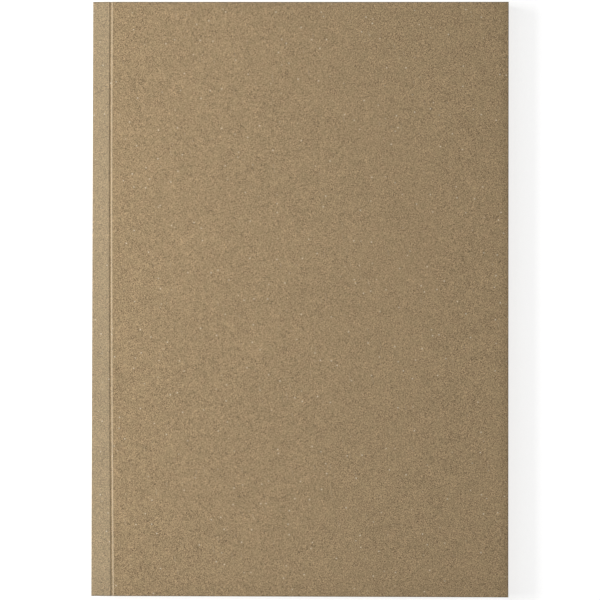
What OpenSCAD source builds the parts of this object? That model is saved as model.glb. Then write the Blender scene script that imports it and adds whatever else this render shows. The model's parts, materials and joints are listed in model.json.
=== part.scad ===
// Pocket notebook: a glued block of paper leaves in a one-piece soft card cover.
//
// It lies closed and flat, front cover up, as it would on a desk. The spine is on the left (-X), the
// head of the pages points to +Y, and the origin is the middle of the outer face of the back cover.
//
// The card is one sheet on the real object. It is split here at its creases, because each crease is
// a hinge: a score beside the spine on each cover, and two folds along the spine, where the glued
// back bends when the block is opened. A few leaves between the two blocks turn one by one, so the
// block opens as a fan. A cover turns about a line 0.1 mm outside its score, and the spine folds
// about lines 0.05 mm outside its outer face, so that no piece rubs on its neighbour.

/* [Cover] */
// Width of the closed notebook, from the spine to the fore edge
cover_w = 103.6; // [80:0.2:150]
// Height of the closed notebook, from head to tail
cover_h = 148; // [100:1:230]
// Thickness of the cover card
card_t = 0.4; // [0.3:0.05:0.6]
// Distance from the spine edge to the middle of the score that the cover opens on
score_from_spine = 4.7; // [3.5:0.1:8]
// Width of the pressed score
score_w = 0.75; // [0.4:0.05:1.2]
// Depth of the pressed score
score_depth = 0.15; // [0.05:0.05:0.25]

/* [Leaves] */
// Thickness of one leaf
leaf_t = 0.09; // [0.07:0.01:0.12]
// Air between two leaves of the closed block
leaf_gap = 0.01; // [0.01:0.005:0.02]
// Leaves under the first leaf that stay together as the front block
front_leaves = 16; // [8:1:17]
// Leaves that turn one by one on each side of the middle leaf
fan_leaves = 5; // [3:1:5]
// Leaves that stay together as the back block
back_leaves = 16; // [8:1:18]

/* [Glue] */
// Thickness of the glue between the leaves and the spine
spine_glue_t = 0.3; // [0.2:0.05:0.6]
// Thickness of the side glue between each cover and the outer leaf beside the spine
side_glue_t = 0.05; // [0.03:0.01:0.1]
// Distance by which the side glue stops short of the score
side_glue_inset = 0.5; // [0.2:0.1:1.5]

/* [Room to move] */
// Gap between two pieces that part at a crease
crease_gap = 0.03; // [0.02:0.01:0.06]
// Gap between the glue and the root of a leaf that turns by itself
leaf_root_gap = 0.02; // [0.01:0.01:0.05]

/* [Hidden] */
// Leaves are numbered from the front: the first leaf, the front block, the fan, the back block
leaf_count = 1 + front_leaves + 2 * fan_leaves + 1 + back_leaves;
fan_first = 1 + front_leaves + 1;
fan_last = leaf_count - back_leaves;
middle_leaf = fan_first + fan_leaves;
leaf_pitch = leaf_t + leaf_gap;

// Heights, from the outer face of the back cover upwards
block_bottom = card_t + side_glue_t;
block_top = block_bottom + leaf_count * leaf_pitch;
cover_inside = block_top + side_glue_t;
notebook_t = cover_inside + card_t;
back_fold_z = block_bottom + back_leaves * leaf_pitch;
front_fold_z = back_fold_z + (2 * fan_leaves + 1) * leaf_pitch;

// Places across the notebook, from the spine to the fore edge
spine_x = -cover_w / 2;
glue_x = spine_x + card_t;
root_x = glue_x + spine_glue_t;
score_x = spine_x + score_from_spine;
fore_edge_x = cover_w / 2;

card_color = "#9c8668";
paper_color = "#efe9da";
glue_color = "#e6dfc4";

function two_digits(number) = str(number < 10 ? "0" : "", number);
function leaf_name(number) = str("leaf_", two_digits(number));
function leaf_z(number) = block_bottom + (leaf_count - number) * leaf_pitch + leaf_gap / 2;
function turns_alone(number) = number >= fan_first && number <= fan_last && number != middle_leaf;

// Extrudes a flat section, drawn across and up, along the full height of the page
module head_to_tail() {
    rotate([90, 0, 0])
        linear_extrude(cover_h, center = true)
            children();
}

// A flat sheet or strip as high as the page
module sheet(from_x, to_x, from_z, to_z) {
    head_to_tail()
        translate([from_x, from_z])
            square([to_x - from_x, to_z - from_z]);
}

// Turns a front piece over into the matching back piece
module back_side() {
    translate([0, 0, notebook_t])
        mirror([0, 0, 1])
            children();
}

// Section of a cover from the score to the fore edge, with its half of the pressed score
module cover_section() {
    difference() {
        translate([score_x + crease_gap / 2, cover_inside])
            square([fore_edge_x - score_x - crease_gap / 2, card_t]);
        translate([score_x, notebook_t - score_depth])
            square([score_w / 2, card_t]);
    }
}

// Section of the strip between the spine and the score, rounded where the card bends round the spine
module hinge_strip_section() {
    intersection() {
        translate([glue_x, cover_inside])
            circle(card_t);
        translate([spine_x, cover_inside])
            square(card_t);
    }
    difference() {
        translate([glue_x, cover_inside])
            square([score_x - glue_x - crease_gap / 2, card_t]);
        translate([score_x - score_w / 2, notebook_t - score_depth])
            square([score_w / 2, card_t]);
    }
}

module front_cover() {
    color(card_color)
        head_to_tail()
            cover_section();
}

module front_hinge_strip() {
    color(card_color)
        head_to_tail()
            hinge_strip_section();
}

module spine_front() {
    color(card_color)
        sheet(spine_x, glue_x, front_fold_z + crease_gap / 2, cover_inside);
}

module spine_middle() {
    color(card_color)
        sheet(spine_x, glue_x, back_fold_z + crease_gap / 2, front_fold_z - crease_gap / 2);
}

module spine_back() {
    color(card_color)
        sheet(spine_x, glue_x, card_t, back_fold_z - crease_gap / 2);
}

module back_hinge_strip() {
    back_side()
        front_hinge_strip();
}

module back_cover() {
    back_side()
        front_cover();
}

module spine_glue_front() {
    color(glue_color)
        sheet(glue_x, root_x, front_fold_z + crease_gap / 2, cover_inside);
}

module spine_glue_middle() {
    color(glue_color)
        sheet(glue_x, root_x, back_fold_z + crease_gap / 2, front_fold_z - crease_gap / 2);
}

module spine_glue_back() {
    color(glue_color)
        sheet(glue_x, root_x, card_t, back_fold_z - crease_gap / 2);
}

module side_glue_front() {
    color(glue_color)
        sheet(root_x, score_x - side_glue_inset, leaf_z(1) + leaf_t, cover_inside);
}

module side_glue_back() {
    color(glue_color)
        sheet(root_x, score_x - side_glue_inset, card_t, leaf_z(leaf_count));
}

// The glued edge of the first leaf, which stays with the spine when the leaf turns at the score
module first_leaf_margin() {
    color(paper_color)
        sheet(root_x, score_x - crease_gap / 2, leaf_z(1), leaf_z(1) + leaf_t);
}

// One leaf. The first starts at the score, a leaf that turns alone starts just clear of the glue, and
// any other leaf starts at the glue that holds it.
module leaf(number) {
    glued_x = number == 1 ? score_x + crease_gap / 2 : root_x;
    start_x = glued_x + (turns_alone(number) ? leaf_root_gap : 0);
    color(paper_color)
        sheet(start_x, fore_edge_x, leaf_z(number), leaf_z(number) + leaf_t);
}

front_cover();
front_hinge_strip();
spine_front();
spine_middle();
spine_back();
back_hinge_strip();
back_cover();
spine_glue_front();
spine_glue_middle();
spine_glue_back();
side_glue_front();
side_glue_back();
first_leaf_margin();
for (number = [1 : leaf_count])
    leaf(number);
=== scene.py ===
# %% [markdown]
# # A pocket notebook in kraft card
# The notebook is a glued block of paper leaves in one sheet of soft brown card. The card is folded
# round the spine, and a score is pressed into each cover beside the spine, so that the cover opens
# on a clean line. This lesson gives the imported model its real surfaces: card with pressed creases,
# paper leaves, set glue, and the light of a small studio.

# %% Load the imported notebook
import json
import math
import random

import bmesh
import bpy
from mathutils import Matrix, Vector


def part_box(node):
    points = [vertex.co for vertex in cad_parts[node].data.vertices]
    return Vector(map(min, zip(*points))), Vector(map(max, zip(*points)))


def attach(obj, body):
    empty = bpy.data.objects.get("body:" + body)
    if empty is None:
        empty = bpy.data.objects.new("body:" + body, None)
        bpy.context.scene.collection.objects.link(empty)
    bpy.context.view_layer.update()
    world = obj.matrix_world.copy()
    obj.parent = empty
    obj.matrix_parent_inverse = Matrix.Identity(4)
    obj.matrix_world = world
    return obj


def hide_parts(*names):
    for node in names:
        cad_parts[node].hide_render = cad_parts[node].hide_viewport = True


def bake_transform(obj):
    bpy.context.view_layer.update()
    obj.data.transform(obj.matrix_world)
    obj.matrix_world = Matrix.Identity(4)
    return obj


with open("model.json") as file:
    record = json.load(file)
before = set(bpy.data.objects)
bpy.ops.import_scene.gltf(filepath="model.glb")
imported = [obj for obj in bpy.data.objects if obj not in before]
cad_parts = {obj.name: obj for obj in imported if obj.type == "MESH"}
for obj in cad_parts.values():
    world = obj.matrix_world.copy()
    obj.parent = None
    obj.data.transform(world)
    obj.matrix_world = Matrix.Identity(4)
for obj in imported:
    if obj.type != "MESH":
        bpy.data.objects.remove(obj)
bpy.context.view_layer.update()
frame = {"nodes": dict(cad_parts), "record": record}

print("nodes in the packed notebook:", len(frame["nodes"]))

# %% [markdown]
# ## Where everything is
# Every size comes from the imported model, so a piece needs no fitting. X runs from the spine to the
# fore edge, Y from the tail to the head of the page, and Z up through the closed notebook. Blender
# works in metres, so `MM` turns a size in millimetres into one that Blender can use.

# %% Read the places from the frame
MM = 0.001


cover_low, cover_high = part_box("front_cover")
strip_low, strip_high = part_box("front_hinge_strip")
spine_x, fore_x = strip_low.x, cover_high.x
tail_y, head_y = cover_low.y, cover_high.y
top_z = cover_high.z
card_t = cover_high.z - cover_low.z
score_x = (strip_high.x + cover_low.x) / 2
glue_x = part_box("spine_glue_middle")[0].x
root_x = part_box("spine_glue_middle")[1].x

back_fold_z = (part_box("spine_back")[1].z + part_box("spine_middle")[0].z) / 2
front_fold_z = (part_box("spine_middle")[1].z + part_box("spine_front")[0].z) / 2
seam_z = (back_fold_z + front_fold_z) / 2
print("score in mm from the spine:", round((score_x - spine_x) / MM, 2))

# %% [markdown]
# ## The shape of the card's outer face
# A score is pressed with a blunt rule, which leaves a round-bottomed valley. The rule was set by hand,
# so the valley stands a little nearer the spine at the head than at the tail. Between the score and
# the spine the card is nipped against the block while the glue sets, so that strip falls a little
# towards the spine. Both could be modelled by hand, piece by piece. Here they are written once, as a
# depth at each place on the cover, and every card piece takes its outer face from that depth, so
# neighbours meet without a step. Past `CREASE_HALF` from the score the card no longer bends.

# %% Press the score and nip the spine
VALLEY_DEPTH = 0.2 * MM
VALLEY_HALF_WIDTH = 0.3 * MM
VALLEY_ROUNDNESS = 4
VALLEY_SLANT = 0.36 * MM
VALLEY_BOW = 0.25 * MM
BOW_BALANCE = 0.4
NIP_DEPTH = 0.22 * MM
BEND_RADIUS = 0.2 * MM
CREASE_HALF = 0.8 * MM


def valley_x(y):
    """Where the bottom of the pressed valley is, at this height of the page."""
    up_page = y * (1 / head_y)
    return score_x - VALLEY_SLANT * up_page + VALLEY_BOW * (up_page * up_page - BOW_BALANCE)


def card_sinks(x, y):
    """How far the outer face lies below its full height."""
    from_middle = (x - valley_x(y)) / VALLEY_HALF_WIDTH
    valley = VALLEY_DEPTH * math.exp(-(from_middle**VALLEY_ROUNDNESS))
    towards_spine = max(0.0, (valley_x(y) - x) / (score_x - spine_x))
    return valley + NIP_DEPTH * towards_spine


print("valley runs from", [round((valley_x(y) - spine_x) / MM, 2) for y in (tail_y, 0, head_y)], "mm")

# %% [markdown]
# ## Shader maths as plain Python
# A material is a graph of nodes, and a long graph is hard to read when it is made one link at a
# time. `Reading` wraps one output of a node, so that `1 - mask * 0.5` adds the Math nodes that say
# the same thing. `Finish` is one material: its `add` method makes any other node, sets its settings
# first, because some of them change which sockets it has, and then fills its sockets.


# %% Wrap a socket so that operators make Math nodes
class Reading:
    """A number that changes over a surface."""

    def __init__(self, finish, output):
        self.finish, self.output = finish, output

    def maths(self, operation, *others):
        values = dict(enumerate((self, *others)))
        return self.finish.add("ShaderNodeMath", {"operation": operation}, values)

    def __add__(self, other):
        return self.maths("ADD", other)

    def __mul__(self, other):
        return self.maths("MULTIPLY", other)

    def __sub__(self, other):
        return self.maths("SUBTRACT", other)

    def __rsub__(self, other):
        return self * -1 + other

    __radd__ = __add__
    __rmul__ = __mul__

    def size(self):
        return self.maths("ABSOLUTE")

    def least(self, other):
        return self.maths("MINIMUM", other)

    def most(self, other):
        return self.maths("MAXIMUM", other)

    def ramp(self, low, high):
        """0 below low, 1 above high and smooth between; low above high turns it round."""
        settings = {"interpolation_type": "SMOOTHSTEP", "clamp": True}
        sockets = {"Value": self, "From Min": min(low, high), "From Max": max(low, high)}
        if low > high:
            sockets |= {"To Min": 1.0, "To Max": 0.0}
        return self.finish.add("ShaderNodeMapRange", settings, sockets)


# %% Make a material from readable parts
REST_PLACE = "rest_place"
CHANCE_BLUR = 0.02
SPECK_CORE = 0.4
# A Mix node has sockets of every kind under the same names, so its colour ones go by number.
MIX_SHARE, MIX_START, MIX_END, MIX_RESULT = 0, 6, 7, 2


class Finish:
    """One material and the nodes that it is made of."""

    def __init__(self, name):
        self.material = bpy.data.materials.new(name)
        self.material.use_nodes = True
        self.tree = self.material.node_tree
        self.tree.nodes.clear()

    def add(self, kind, settings, sockets, output=0):
        """Adds a node: its settings first, then a value or a link for each socket."""
        node = self.tree.nodes.new(kind)
        for name, value in settings.items():
            setattr(node, name, value)
        for name, value in sockets.items():
            if isinstance(value, Reading):
                self.tree.links.new(value.output, node.inputs[name])
            else:
                node.inputs[name].default_value = value
        return Reading(self, node.outputs[output]) if node.outputs else None

    def place(self):
        """Where a point of the piece was while the notebook lay closed."""
        return self.add("ShaderNodeAttribute", {"attribute_name": REST_PLACE}, {}, "Vector")

    def object_place(self):
        return self.add("ShaderNodeTexCoord", {}, {}, "Object")

    def parts(self, vector):
        split = self.add("ShaderNodeSeparateXYZ", {}, {"Vector": vector})
        return [Reading(self, split.output.node.outputs[axis]) for axis in "XYZ"]

    def turned(self, vector, *degrees):
        """The place turned about X, Y and Z."""
        sockets = {"Vector": vector, "Rotation": [math.radians(turn) for turn in degrees]}
        return self.add("ShaderNodeMapping", {"vector_type": "TEXTURE"}, sockets)

    def drawn_out(self, vector, degrees, scale):
        """The place turned about Z and then scaled, which draws a pattern out along one direction."""
        level = self.turned(vector, 0, 0, degrees)
        return self.add("ShaderNodeVectorMath", {"operation": "MULTIPLY"}, {0: level, 1: scale})

    def moved(self, vector, distance):
        """The same pattern from elsewhere, so that two patterns don't fall on each other."""
        sockets = {0: vector, 1: (distance, distance, distance)}
        return self.add("ShaderNodeVectorMath", {"operation": "ADD"}, sockets)

    def noise(self, vector, scale, detail=2.0, roughness=0.5):
        """Soft noise about 0, mostly between -0.3 and 0.3, with about scale cells to a metre."""
        sockets = {"Vector": vector, "Scale": scale, "Detail": detail, "Roughness": roughness}
        return self.add("ShaderNodeTexNoise", {}, sockets) - 0.5

    def specks(self, vector, spacing, radius, share):
        """1 on round specks: one in each cell of this spacing, and only in this share of cells."""
        cells = self.add("ShaderNodeTexVoronoi", {}, {"Vector": vector, "Scale": 1 / spacing})
        chance = Reading(self, cells.output.node.outputs["Color"])
        chosen = self.parts(chance)[0].ramp(share + CHANCE_BLUR, share - CHANCE_BLUR)
        return cells.ramp(radius / spacing, SPECK_CORE * radius / spacing) * chosen

    def mix(self, share, start, end):
        """A colour that goes from start to end."""
        sockets = {MIX_SHARE: share, MIX_START: start, MIX_END: end}
        return self.add("ShaderNodeMix", {"data_type": "RGBA"}, sockets, MIX_RESULT)

    def surface(self, base, roughness, height, relief, **constants):
        """Ends the material: a Principled shader, with fine relief from a height in shares of relief."""
        bump = self.add("ShaderNodeBump", {}, {"Height": height, "Distance": relief}, "Normal")
        sockets = {"Base Color": base, "Roughness": roughness, "Normal": bump}
        shader = self.add("ShaderNodeBsdfPrincipled", {}, sockets | constants)
        self.add("ShaderNodeOutputMaterial", {}, {"Surface": shader})
        return self.material


# %% [markdown]
# ## Kraft card
# The cover is uncoated card made from brown pulp. Seen close, it has soft clouds where the pulp lay
# thicker, a fine mottled grain, single hairs of darker and lighter fibre, and a few pale and dark
# specks. The pattern could be a picture, but noise at each of those sizes has no seams and can be
# looked at from any distance. All of it reads the place that each point had while the notebook was
# closed, which is stored on the mesh, so the grain stays on the card when the card bends.

# %% Name the colours of the card
def colour(red, green, blue):
    return (red, green, blue, 1.0)


DARK_PULP = colour(0.06, 0.038, 0.018)
LIGHT_PULP = colour(0.7, 0.492, 0.276)
OLIVE_PULP = colour(0.365, 0.283, 0.15)
DARK_HAIR = colour(0.16, 0.1, 0.052)
PALE_HAIR = colour(0.75, 0.63, 0.47)
DARK_SPECK = colour(0.11, 0.073, 0.04)
PALE_SPECK = colour(0.85, 0.75, 0.58)
# Painted highlight and sheen: a paler colour for the strip between the score and the spine, which faces
# the spine-side light.
STRIP_HIGHLIGHT_PAINT = colour(0.7, 0.65, 0.49)
# Painted highlight: a paler colour for the score's wall on the fore-edge side, which faces the spine-side
# light.
LIP_HIGHLIGHT_PAINT = colour(0.78, 0.65, 0.47)
CUT_CARD = colour(0.14, 0.11, 0.073)
print("the card's pulp runs from", DARK_PULP[:3], "to", LIGHT_PULP[:3])

# %% [markdown]
# Noise is made on a lattice, and it is weaker on a level cut through the lattice than between two
# levels. So the grain reads a place that is turned out of level by `GRAIN_TILT`, and stays as strong
# all over a flat cover. The hairs and the felt are the same noise drawn out along one direction.

# %% Mix the kraft card
GRAIN_TILT = (37, 28, 31)
CARD_RELIEF = 0.06 * MM
SPECK_RADIUS = 0.24 * MM
SPECK_SHARE = 0.8
OTHER_SPECKS = 0.5


def paint_highlights_and_cut_edge(card, place, base, grain):
    """Painted highlights: paler on the strip beside the spine and on the score's fore-edge-side wall,
    where both face the light; darker at a cut edge.
    """
    x, y, _ = card.parts(place)
    past_valley = x - valley_x(y)
    # Painted highlight: the strip from the valley to the spine is made paler, as if lit more by the
    # spine-side light.
    strip_highlight = past_valley.ramp(0.1 * MM, -0.3 * MM)
    base = card.mix(strip_highlight * 0.12, base, STRIP_HIGHLIGHT_PAINT)
    # Painted highlight: a narrow band just past the valley, on the wall that faces the light, is made
    # paler.
    lip_highlight = past_valley.ramp(0.05 * MM, 0.2 * MM) * past_valley.ramp(0.55 * MM, 0.3 * MM)
    base = card.mix(lip_highlight * 0.4, base, LIP_HIGHLIGHT_PAINT)
    to_edge = (fore_x - x).least(head_y - y.size())
    cut = (to_edge + grain * (0.3 * MM)).ramp(0.26 * MM, 0.12 * MM)
    return card.mix(cut * 0.6, base, CUT_CARD)


def kraft_card():
    card = Finish("kraft_card")
    place = card.place()
    tilted = card.turned(place, *GRAIN_TILT)

    clouds = card.noise(place, 55, detail=2)
    pulp = card.noise(place, 260, detail=3, roughness=0.6)
    mottle = card.noise(tilted, 1500, detail=2)
    grain = card.noise(tilted, 5900, detail=1)
    felt = card.noise(card.drawn_out(place, 25, (2100, 8200, 8200)), 1, detail=1)
    cross_felt = card.noise(card.drawn_out(place, -60, (2000, 8200, 8200)), 1, detail=1)
    fibre_mat = grain * 1.25 + (felt + cross_felt) * 0.4
    # The finest layer carries most of the tone, and the broad clouds hardly show.
    tone = clouds * 0.04 + pulp * 0.17 + mottle * 0.26 + fibre_mat * 1.75

    hairs = card.noise(card.drawn_out(place, 35, (260, 4200, 4200)), 1).ramp(0.21, 0.27)
    other_hairs = card.noise(card.drawn_out(place, -50, (240, 4600, 4600)), 1).ramp(0.21, 0.27)
    pale_hairs = card.noise(card.drawn_out(place, 100, (300, 4400, 4400)), 1).ramp(0.20, 0.26)
    pale_specks = card.specks(place, 2.1 * MM, SPECK_RADIUS, SPECK_SHARE)
    dark_specks = card.specks(card.moved(place, OTHER_SPECKS), 1.9 * MM, SPECK_RADIUS, SPECK_SHARE)

    base = card.mix(tone + 0.5, DARK_PULP, LIGHT_PULP)
    base = card.mix(card.noise(place, 420, detail=3) * 0.7 + 0.2, base, OLIVE_PULP)
    base = card.mix(hairs.most(other_hairs) * 0.4, base, DARK_HAIR)
    base = card.mix(pale_hairs * 0.3, base, PALE_HAIR)
    base = card.mix(dark_specks * 0.6, base, DARK_SPECK)
    base = card.mix(pale_specks * 0.65, base, PALE_SPECK)
    # Painted highlights on the spine strip and the score's lit wall, and a darker cut edge.
    base = paint_highlights_and_cut_edge(card, place, base, grain)

    height = fibre_mat + mottle * 0.8 + hairs * 0.25 + pale_hairs * 0.25
    constants = {"Specular IOR Level": 0.3, "Sheen Weight": 0.04, "Sheen Roughness": 0.5}
    return card.surface(base, 0.84 + mottle * 0.15, height, CARD_RELIEF, **constants)


# %% [markdown]
# ## Writing paper
# The leaves are uncoated off-white paper. It is much more even than the card, but not blank: pulp
# gives it faint clouds and short fibres, and its cut edges, seen as a stack, show a slightly
# different tone from leaf to leaf.

# %% Mix the paper
GREY_PAPER = colour(0.64, 0.58, 0.48)
WHITE_PAPER = colour(0.86, 0.8, 0.71)
PAPER_FIBRE = colour(0.55, 0.48, 0.37)
CUT_PAPER = colour(0.6, 0.53, 0.4)
PAPER_RELIEF = 0.02 * MM


def writing_paper():
    paper = Finish("writing_paper")
    place = paper.place()
    x, y, _ = paper.parts(place)
    clouds = paper.noise(place, 180, detail=4, roughness=0.6)
    tooth = paper.noise(place, 5200, detail=2, roughness=0.6)
    fibres = paper.noise(paper.drawn_out(place, 20, (500, 5200, 5200)), 1).ramp(0.2, 0.28)
    cross_fibres = paper.noise(paper.drawn_out(place, -65, (520, 5000, 5000)), 1).ramp(0.2, 0.28)
    leaf_tone = paper.noise(paper.drawn_out(place, 0, (12, 12, 5200)), 1, detail=1)

    to_edge = (fore_x - x).least(head_y - y.size())
    cut = (to_edge + tooth * (0.2 * MM)).ramp(0.3 * MM, 0.02 * MM)

    shade = clouds * 0.35 + tooth * 0.25 + leaf_tone * 0.6
    base = paper.mix(shade + 0.5, GREY_PAPER, WHITE_PAPER)
    base = paper.mix(fibres.most(cross_fibres) * 0.16, base, PAPER_FIBRE)
    base = paper.mix(cut * 0.35, base, CUT_PAPER)
    height = tooth + fibres * 0.3 + cross_fibres * 0.3
    return paper.surface(base, 0.88 + clouds * 0.1, height, PAPER_RELIEF, **{"Specular IOR Level": 0.3})


# %% [markdown]
# ## Binding glue
# The leaves are held by hot-melt glue, run on to the spine and set under pressure. It is a cream,
# slightly waxy film with shallow ripples, smoother than anything round it.

# %% Mix the glue
DULL_GLUE = colour(0.62, 0.55, 0.36)
CLEAR_GLUE = colour(0.8, 0.75, 0.58)
GLUE_RELIEF = 0.08 * MM


def set_glue(name, on_cad_node):
    """A CAD node has no stored place, so its glue reads Object coordinates instead."""
    glue = Finish(name)
    place = glue.object_place() if on_cad_node else glue.place()
    ripples = glue.noise(place, 900, detail=2)
    cloudy = glue.noise(place, 240, detail=2)
    base = glue.mix(cloudy + 0.5, DULL_GLUE, CLEAR_GLUE)
    return glue.surface(base, 0.38 + ripples * 0.3, ripples, GLUE_RELIEF, **{"Specular IOR Level": 0.5})


# %% Keep the finishes at hand
card_finish = kraft_card()
paper_finish = writing_paper()
glue_finish = set_glue("spine_glue", on_cad_node=False)
side_glue_finish = set_glue("side_glue", on_cad_node=True)
print("finishes:", [finish.name for finish in bpy.data.materials])

# %% [markdown]
# ## Working a sheet
# Card and paper are sheets, so nearly every piece starts as one line of points along the page
# height. The line is pulled across the notebook, and each pull leaves a strip of faces behind it,
# as an extruder does. The finished skin then gets its thickness with Solidify. Starting from a line
# and not from a cube puts rows of points just where the sheet has to bend.

# %% Helpers that pull, thicken and finish a sheet
CUTS_ALONG_PAGE = 24
WELD = 0.0005 * MM
OUTWARDS = Vector((0, 0, 1))


def page_line(mesh, x, z, low=tail_y, high=head_y, cuts=CUTS_ALONG_PAGE):
    """A line of edges from the tail to the head of the page."""
    points = [mesh.verts.new((x, low + (high - low) * i / cuts, z)) for i in range(cuts + 1)]
    return [mesh.edges.new(pair) for pair in zip(points, points[1:])]


def pull(mesh, line, step, times=1):
    """Extrudes a line of edges, and gives back the line at the far end."""
    for _ in range(times):
        made = bmesh.ops.extrude_edge_only(mesh, edges=line)["geom"]
        points = [item for item in made if isinstance(item, bmesh.types.BMVert)]
        bmesh.ops.translate(mesh, verts=points, vec=step)
        edges = [item for item in made if isinstance(item, bmesh.types.BMEdge)]
        line = [edge for edge in edges if set(edge.verts) <= set(points)]
    return line


def pull_to(mesh, line, x, times):
    """Pulls a line straight across the notebook until it is at x."""
    step = (x - line[0].verts[0].co.x) / times
    return pull(mesh, line, (step, 0, 0), times)


def thicken(mesh, thickness, outwards=OUTWARDS):
    """Turns a skin into a closed sheet, with its new wall on the side away from outwards."""
    bmesh.ops.recalc_face_normals(mesh, faces=mesh.faces[:])
    if sum(face.normal.dot(outwards) * face.calc_area() for face in mesh.faces) < 0:
        bmesh.ops.reverse_faces(mesh, faces=mesh.faces[:])
    bmesh.ops.solidify(mesh, geom=mesh.faces[:], thickness=thickness)
    bmesh.ops.remove_doubles(mesh, verts=mesh.verts[:], dist=WELD)
    bmesh.ops.recalc_face_normals(mesh, faces=mesh.faces[:])


# %% Turn a mesh into an object
SHARP_ANGLE = 26


def as_object(mesh, name, finish):
    """Makes the object at the origin, and smooths every edge but the sharp ones."""
    data = bpy.data.meshes.new(name)
    mesh.to_mesh(data)
    mesh.free()
    data.shade_smooth()
    data.set_sharp_from_angle(angle=math.radians(SHARP_ANGLE))
    data.materials.append(finish)
    made = bpy.data.objects.new(name, data)
    bpy.context.collection.objects.link(made)
    print(f"{name}: {len(data.polygons)} faces")
    return made


def finish_piece(mesh, name, finish):
    """Makes a piece of the notebook, and stores where each of its points is at rest."""
    piece = as_object(mesh, name, finish)
    place = piece.data.attributes.new(REST_PLACE, "FLOAT_VECTOR", "POINT")
    place.data.foreach_set("vector", [c for vertex in piece.data.vertices for c in vertex.co])
    return piece


# %% [markdown]
# ## Pressing and trimming
# Each card piece is drawn flat and then pressed to the face described above. Its cut rims get a bevel
# of a few hundredths of a millimetre, which is enough to catch the light as a trimmed edge does.

# %% Helpers that press, round and mirror a card piece
TOUCH = 0.001 * MM
RIM_BEVEL = 0.05 * MM


def bevel(mesh, edges, width, segments):
    bmesh.ops.bevel(mesh, geom=edges, offset=width, offset_type="OFFSET", affect="EDGES",
                    segments=segments, profile=0.5, material=-1, clamp_overlap=True)


def press(mesh):
    """Presses the card: its outer face sinks all the way, its inner face stays, and between them less."""
    inner_z = top_z - card_t
    for point in mesh.verts:
        share = max(0.0, (point.co.z - inner_z) / card_t)
        point.co.z -= card_sinks(point.co.x, point.co.y) * share


def on_rim(edge):
    """True for a square edge at the head, the tail or the fore edge."""
    at_end = all(abs(abs(point.co.y) - head_y) < TOUCH for point in edge.verts)
    at_fore_edge = all(abs(point.co.x - fore_x) < TOUCH for point in edge.verts)
    return (at_end or at_fore_edge) and edge.calc_face_angle(0) > 1


def soften_rims(mesh, width=RIM_BEVEL):
    """Rounds the cut edges, and leaves the seams between pieces sharp."""
    bevel(mesh, [edge for edge in mesh.edges if on_rim(edge)], width, segments=2)


def turn_to_back(mesh):
    """Mirrors a front piece into the matching back piece."""
    middle = Vector((0, 0, top_z / 2))
    bmesh.ops.scale(mesh, verts=mesh.verts[:], vec=(1, 1, -1), space=Matrix.Translation(-middle))
    bmesh.ops.recalc_face_normals(mesh, faces=mesh.faces[:])


# %% [markdown]
# ## Spine card
# The spine and the strips beside the scores are one bend of card. Each half starts at the middle of
# the spine, climbs to the corner and runs across to the score. The press leaves that corner crisp, so
# it gets a narrow bevel and not a wide round.

# %% Bend the card round the spine
SPINE_ROWS = 14
STRIP_ROWS = 10


def is_at_corner(place):
    return abs(place.x - spine_x) < TOUCH and abs(place.z - top_z) < TOUCH


def spine_card(first_z):
    """Half of the spine with its strip, drawn for the front; first_z is where it starts."""
    mesh = bmesh.new()
    line = page_line(mesh, spine_x, first_z)
    line = pull(mesh, line, (0, 0, (top_z - first_z) / SPINE_ROWS), SPINE_ROWS)
    pull_to(mesh, line, score_x - CREASE_HALF, STRIP_ROWS)
    thicken(mesh, card_t)
    corner = [edge for edge in mesh.edges if all(is_at_corner(point.co) for point in edge.verts)]
    bevel(mesh, corner, BEND_RADIUS, segments=4)
    press(mesh)
    soften_rims(mesh)
    return mesh


upper_spine = finish_piece(spine_card(seam_z), "spine_and_front_strip", card_finish)
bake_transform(upper_spine)
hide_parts("spine_front", "spine_middle", "front_hinge_strip")

lower_mesh = spine_card(top_z - seam_z)
turn_to_back(lower_mesh)
lower_spine = finish_piece(lower_mesh, "spine_and_back_strip", card_finish)
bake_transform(lower_spine)
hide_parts("spine_back", "back_hinge_strip")

# %% [markdown]
# ## Creases
# At a score the card stays joined: the valley's floor is the hinge. The front crease has two layers,
# because two things turn on it. The outer layer spans the hinge of the cover opening by itself, and
# the inner layer that of the first leaf turning and taking the cover along. The outer layer lies only
# past the score, so nothing of it reaches back over the pages. The back crease needs only one layer.

# %% Join the covers across their scores
BEND_HALF = 0.5 * MM
OUTER_LAYER_T = 0.24 * MM
LAYER_GAP = 0.01 * MM
CREASE_ROW = 0.04 * MM
CREASE_BEVEL = 0.03 * MM


def crease(from_x, to_x, sink, thickness):
    """A strip of card beside or across the score, its top this far below the card's outer face."""
    mesh = bmesh.new()
    line = page_line(mesh, from_x, top_z - sink)
    pull_to(mesh, line, to_x, round((to_x - from_x) / CREASE_ROW))
    thicken(mesh, thickness)
    press(mesh)
    soften_rims(mesh, CREASE_BEVEL)
    return mesh


crease_from, crease_to = score_x - CREASE_HALF, score_x + CREASE_HALF

fixed_mesh = crease(crease_from, score_x, 0, OUTER_LAYER_T)
fixed_crease = finish_piece(fixed_mesh, "front_crease_strip_side", card_finish)
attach(fixed_crease, "front_block")

outer_mesh = crease(score_x, crease_to, 0, OUTER_LAYER_T)
outer_crease = finish_piece(outer_mesh, "front_crease", card_finish)
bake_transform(outer_crease)

inner_t = card_t - OUTER_LAYER_T - LAYER_GAP
inner_mesh = crease(crease_from, score_x + BEND_HALF, card_t - inner_t, inner_t)
inner_crease = finish_piece(inner_mesh, "front_crease_lining", card_finish)
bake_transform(inner_crease)

back_mesh = crease(crease_from, crease_to, 0, card_t)
turn_to_back(back_mesh)
back_crease = finish_piece(back_mesh, "back_crease", card_finish)
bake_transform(back_crease)

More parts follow.
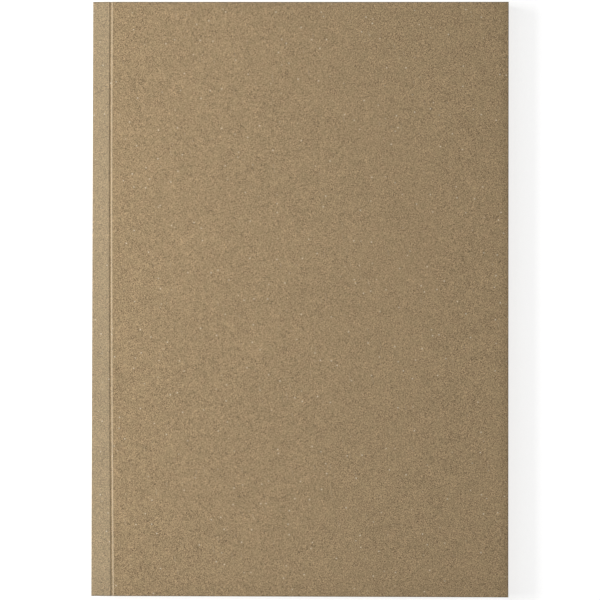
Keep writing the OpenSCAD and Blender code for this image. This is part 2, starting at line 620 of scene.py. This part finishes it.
# %% [markdown]
# ## Cover panels
# From the score to the fore edge each cover is a flat panel, cut flush with the leaves. A soft cover
# never lies quite flat once it has been opened, so the front one lifts by a fraction of a
# millimetre towards the fore edge.

# %% Cut the covers
FRONT_LIFT = 0.3 * MM
LIFT_AT_MIDDLE = 0.55
VALLEY_END = 1.2 * MM
FLAT_FROM = 4 * MM


def cover_panel(lift):
    """A cover from past its crease, with its rows close together where the valley may reach."""
    mesh = bmesh.new()
    line = page_line(mesh, score_x + CREASE_HALF, top_z)
    line = pull_to(mesh, line, score_x + VALLEY_END, 10)
    line = pull_to(mesh, line, score_x + FLAT_FROM, 4)
    pull_to(mesh, line, fore_x, 40)
    thicken(mesh, card_t)
    press(mesh)
    soften_rims(mesh)
    for point in mesh.verts:
        across = max(0.0, (point.co.x - score_x) / (fore_x - score_x))
        along = abs(point.co.y) / head_y
        share = LIFT_AT_MIDDLE + (1 - LIFT_AT_MIDDLE) * along**2
        point.co.z += lift * across**3 * share
    return mesh


front_panel = finish_piece(cover_panel(FRONT_LIFT), "front_cover_panel", card_finish)
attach(front_panel, "front_cover")
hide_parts("front_cover")

back_panel_mesh = cover_panel(0)
turn_to_back(back_panel_mesh)
back_panel = finish_piece(back_panel_mesh, "back_cover_panel", card_finish)
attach(back_panel, "back_cover")
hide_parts("back_cover")

# %% [markdown]
# ## Leaves
# Each leaf is a sheet of its own. The trimming knife leaves the stack nearly flush, but not
# perfectly: every leaf ends a few hundredths of a millimetre from the next, which is what makes the
# cut edge of a block look like paper. A leaf that turns by itself gets close rows over the first part
# of its width, where paper curves as it leaves the glue.

# %% Cut the leaves
TRIM_SPREAD = 0.06 * MM
ROOT_BEND = 26 * MM
FIRST_LEAF_BEND = (-0.6 * MM, 1.0 * MM)
BEND_ROWS = 26
FLAT_ROWS = 6
knife = random.Random(44)


def leaf_sheet(start_x, low_z, thickness, bend):
    """A leaf from its root to the fore edge, with more rows where it bends, from one x to another."""
    head, tail = head_y - knife.uniform(0, TRIM_SPREAD), tail_y + knife.uniform(0, TRIM_SPREAD)
    end_x = fore_x - knife.uniform(0, TRIM_SPREAD)
    mesh = bmesh.new()
    line = page_line(mesh, start_x, low_z + thickness, tail, head, cuts=FLAT_ROWS)
    if bend and bend[0] > start_x:
        line = pull_to(mesh, line, bend[0], 3)
    if bend:
        line = pull_to(mesh, line, bend[1], BEND_ROWS)
    pull_to(mesh, line, end_x, FLAT_ROWS)
    thicken(mesh, thickness)
    return mesh


def node_body(node):
    """The name of the body that a node belongs to."""
    bodies = frame["record"]["behaviour"]["bodies"]
    return next(name for name, nodes in bodies.items() if node in nodes)


# %% Bind the leaves
leaf_nodes = sorted(node for node in frame["nodes"] if node.startswith("leaf_"))
first_leaf_node = leaf_nodes[0]
for node in leaf_nodes:
    low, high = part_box(node)
    body = node_body(node)
    start_x, bend, stays_with = low.x, None, body
    if node == first_leaf_node:
        start_x, stays_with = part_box("first_leaf_margin")[0].x, "front_block"
        bend = [score_x + distance for distance in FIRST_LEAF_BEND]
    elif body.startswith("fan_"):
        bend, stays_with = [start_x, start_x + ROOT_BEND], "middle"
    sheet = leaf_sheet(start_x, low.z, high.z - low.z, bend)
    leaf = finish_piece(sheet, "paper_" + node, paper_finish)
    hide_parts(node)
    if bend:
        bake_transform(leaf)
    else:
        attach(leaf, body)
    if node == first_leaf_node:
        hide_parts("first_leaf_margin")

# %% [markdown]
# ## Glue
# The spine glue is a strip between the card and the roots of the leaves. It is drawn as two halves
# that meet where the card's halves meet, and its ends are drawn back a little from the trimmed
# edges, where the knife pulls soft glue away. The thin side glue keeps its imported shape.

# %% Run the glue
GLUE_PULL_BACK = 0.12 * MM
GLUE_ROWS = 12
GLUE_CUTS = 60
TO_SPINE = Vector((-1, 0, 0))


def glue_strip(name, low_z, high_z):
    mesh = bmesh.new()
    line = page_line(mesh, glue_x, low_z, tail_y + GLUE_PULL_BACK, head_y - GLUE_PULL_BACK, GLUE_CUTS)
    pull(mesh, line, (0, 0, (high_z - low_z) / GLUE_ROWS), GLUE_ROWS)
    thicken(mesh, root_x - glue_x, TO_SPINE)
    return finish_piece(mesh, name, glue_finish)


upper_glue = glue_strip("upper_spine_glue", seam_z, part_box("spine_glue_front")[1].z)
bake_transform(upper_glue)
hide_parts("spine_glue_front", "spine_glue_middle")

lower_glue = glue_strip("lower_spine_glue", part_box("spine_glue_back")[0].z, seam_z)
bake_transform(lower_glue)
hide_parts("spine_glue_back")

for node in ("side_glue_front", "side_glue_back"):
    frame["nodes"][node].data.materials.clear()
    frame["nodes"][node].data.materials.append(side_glue_finish)

# %% [markdown]
# ## The studio
# The notebook lies on a thin pale board on a pale floor. The board is a little smaller than the
# notebook and a millimetre thick, so that a cover can be folded right round underneath. The floor is
# opal plastic, lit from below: it glows evenly, so the ground stays nearly white even in the
# notebook's shadow. A plain white floor in brighter light would do the same, but it would also throw
# that light back on to the card. Spun from one line, the floor is a wide dish with a low wall, so no
# view meets its end.

# %% Lay the floor
BOARD_T = 1.0 * MM
BOARD_INSET = 7 * MM
FLOOR_REACH = 3.0
SWEEP_RADIUS = 0.4
WALL_HEIGHT = 0.7
FLOOR_GLOW = 0.76
FLOOR_RELIEF = 0.02 * MM


def pale_finish():
    pale = Finish("pale_floor")
    place = pale.object_place()
    dust = pale.noise(place, 700, detail=2)
    base = pale.mix(dust + 0.5, colour(0.4, 0.4, 0.4), colour(0.44, 0.44, 0.44))
    glow = {"Emission Color": colour(1, 1, 1), "Emission Strength": FLOOR_GLOW}
    return pale.surface(base, 0.9 + dust * 0.05, dust, FLOOR_RELIEF, **glow)


floor_finish = pale_finish()


def floor_dish():
    """A round floor that sweeps up into a low wall."""
    mesh = bmesh.new()
    corner_x = FLOOR_REACH - SWEEP_RADIUS
    points = [mesh.verts.new((x, 0, -BOARD_T)) for x in (0, corner_x)]
    mesh.edges.new(points)
    centre = (corner_x, 0, SWEEP_RADIUS - BOARD_T)
    swept = bmesh.ops.spin(mesh, geom=[points[1]], cent=centre, axis=(0, -1, 0),
                           angle=math.pi / 2, steps=10)
    top = next(item for item in swept["geom_last"] if isinstance(item, bmesh.types.BMVert))
    raised = bmesh.ops.extrude_vert_indiv(mesh, verts=[top])["verts"]
    bmesh.ops.translate(mesh, verts=raised, vec=(0, 0, WALL_HEIGHT - SWEEP_RADIUS))
    bmesh.ops.spin(mesh, geom=mesh.verts[:] + mesh.edges[:], cent=(0, 0, 0), axis=(0, 0, 1),
                   angle=math.tau, steps=96, use_merge=True)
    bmesh.ops.remove_doubles(mesh, verts=mesh.verts[:], dist=0.01 * MM)
    bmesh.ops.recalc_face_normals(mesh, faces=mesh.faces[:])
    if mesh.faces[:][0].normal.z < 0:
        bmesh.ops.reverse_faces(mesh, faces=mesh.faces[:])
    return mesh


def board_block():
    mesh = bmesh.new()
    low = Vector((spine_x + BOARD_INSET, tail_y + BOARD_INSET / 2, -BOARD_T))
    high = Vector((fore_x - BOARD_INSET / 2, head_y - BOARD_INSET / 2, 0))
    stretch = Matrix.Diagonal((*(high - low), 1))
    bmesh.ops.create_cube(mesh, size=1, matrix=Matrix.Translation((low + high) / 2) @ stretch)
    return mesh


as_object(floor_dish(), "floor", floor_finish)
as_object(board_block(), "board", floor_finish)

# %% [markdown]
# ## The lights
# One soft light stands on the spine side, about forty degrees up, near enough to fade a little
# across the cover. It comes across the score, and so draws it as a dark line beside a bright one. A
# second light, almost overhead, fills the rest. Each is aimed at the middle of the notebook.

# %% Set the lights
def soft_light(name, place, size, power):
    data = bpy.data.lights.new(name, "AREA")
    data.shape, data.size, data.size_y = "RECTANGLE", *size
    data.energy = power
    light = bpy.data.objects.new(name, data)
    light.location = place
    light.rotation_mode = "QUATERNION"
    light.rotation_quaternion = (-light.location).to_track_quat("-Z", "Y")
    light.visible_camera = False
    bpy.context.collection.objects.link(light)
    print(f"{name}: {power} W, {light.location.length:.2f} m away")


soft_light("window_light", place=(-0.37, 0.045, 0.315), size=(0.32, 0.13), power=1.77)
soft_light("overhead_fill", place=(-0.15, 0.03, 0.31), size=(0.26, 0.26), power=0.38)

AIR_LIGHT = 0.14
world = bpy.data.worlds.new("studio_air")
world.use_nodes = True
background = world.node_tree.nodes["Background"]
background.inputs["Color"].default_value = colour(1, 1, 1)
background.inputs["Strength"].default_value = AIR_LIGHT
bpy.context.scene.world = world
bpy.context.scene.view_settings.view_transform = "Standard"

# %% [markdown]
# ## The camera
# The camera looks almost straight down from 0.6 m through a long lens. It stands a few millimetres
# off the middle and is turned by less than a degree, as a hand-set copy stand would be.

# %% Place the camera
CAMERA_HEIGHT = 0.6
CAMERA_ACROSS = 6.6 * MM
CAMERA_ALONG = -9.1 * MM
VIEW_ANGLE = 14.18
CAMERA_TURNS = (0.84, 0.63, 0.11)

camera_data = bpy.data.cameras.new("copy_stand_camera")
camera_data.sensor_fit = "HORIZONTAL"
camera_data.angle = math.radians(VIEW_ANGLE)
camera = bpy.data.objects.new("copy_stand_camera", camera_data)
camera.location = (CAMERA_ACROSS, CAMERA_ALONG, top_z + CAMERA_HEIGHT)
camera.rotation_euler = [math.radians(turn) for turn in CAMERA_TURNS]
bpy.context.collection.objects.link(camera)
bpy.context.scene.camera = camera
print("camera:", [round(c, 3) for c in camera.location], "m")
